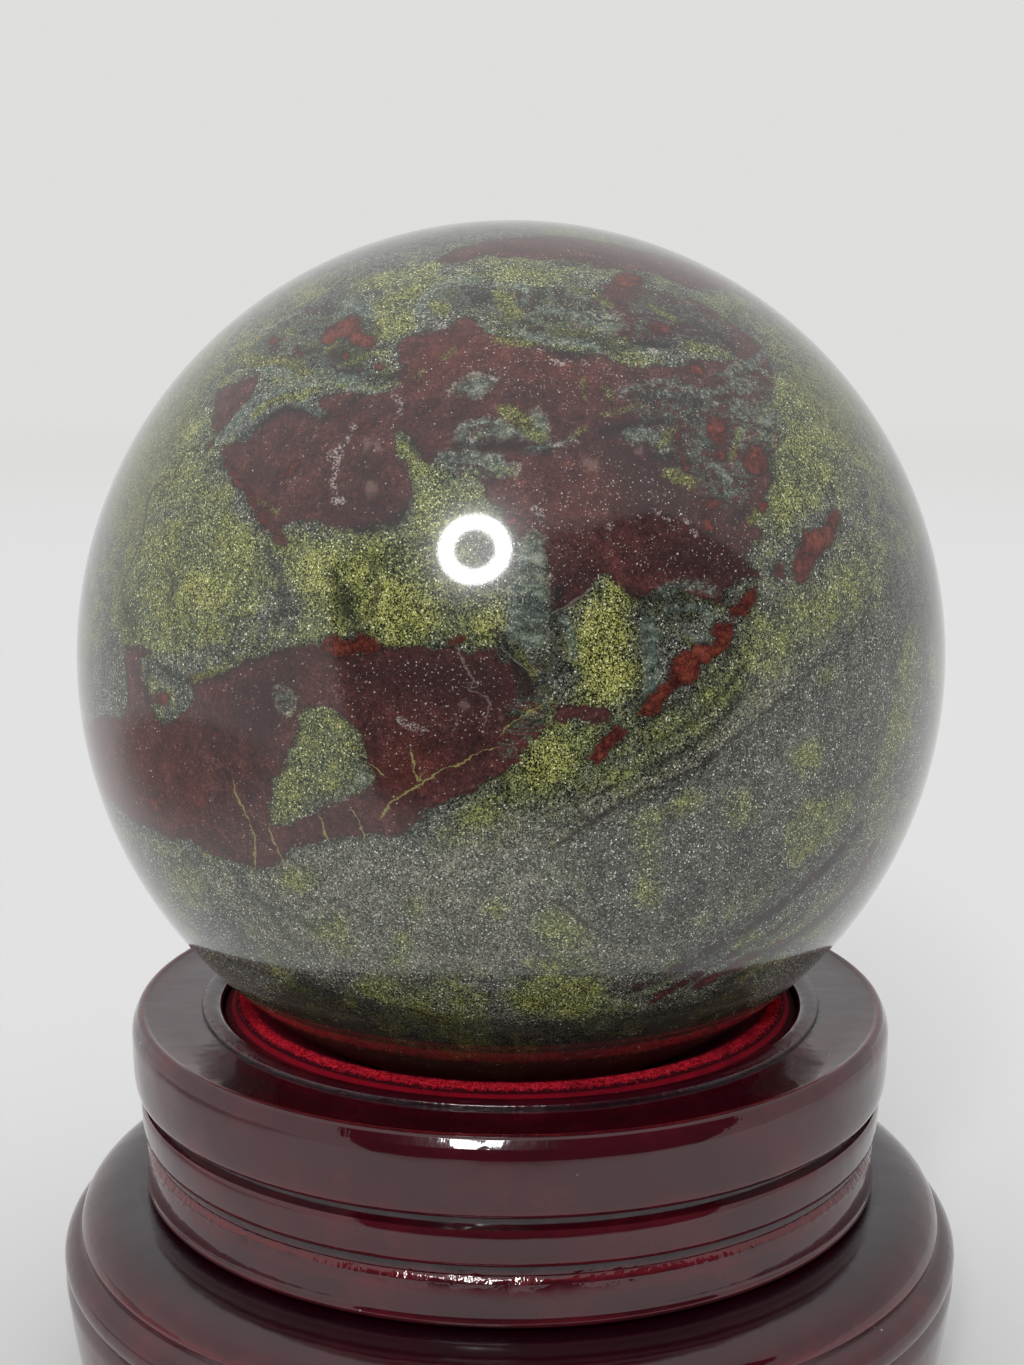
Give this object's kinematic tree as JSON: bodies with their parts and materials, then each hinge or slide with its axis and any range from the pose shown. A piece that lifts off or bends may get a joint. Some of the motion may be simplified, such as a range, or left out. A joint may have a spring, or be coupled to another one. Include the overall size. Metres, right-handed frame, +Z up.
{
  "type": "polished jasper sphere on a turned wooden stand",
  "caption": "Polished ball of red and green jasper resting in a velvet ring on a tiered, round, red lacquered wooden stand.",
  "frame": {"origin": "centre of the lower stand's flat underside, on the surface that the part stands on", "axes": "+Z up along the common axis of the stand and the ball; -Y towards the side that the picture shows; +X to the right in that view"},
  "size_m": [0.097, 0.097, 0.125],
  "materials": {
    "jasper": "mirror-polished stone: maroon jasper beds, granular olive-green epidote with tiny sparkling grains, teal wisps and orange-red veins",
    "red_velvet": "short-pile crimson velvet over a padded ring, bright where the pile catches the light",
    "lacquered_wood": "turned wood under thick glossy dark-red lacquer, thinner and redder on the edges, with small runs and chips"
  },
  "bodies": {
    "root": {"jasper_sphere": "jasper", "velvet_ring": "red_velvet", "upper_stand": "lacquered_wood", "lower_stand": "lacquered_wood"}
  },
  "joints": []
}
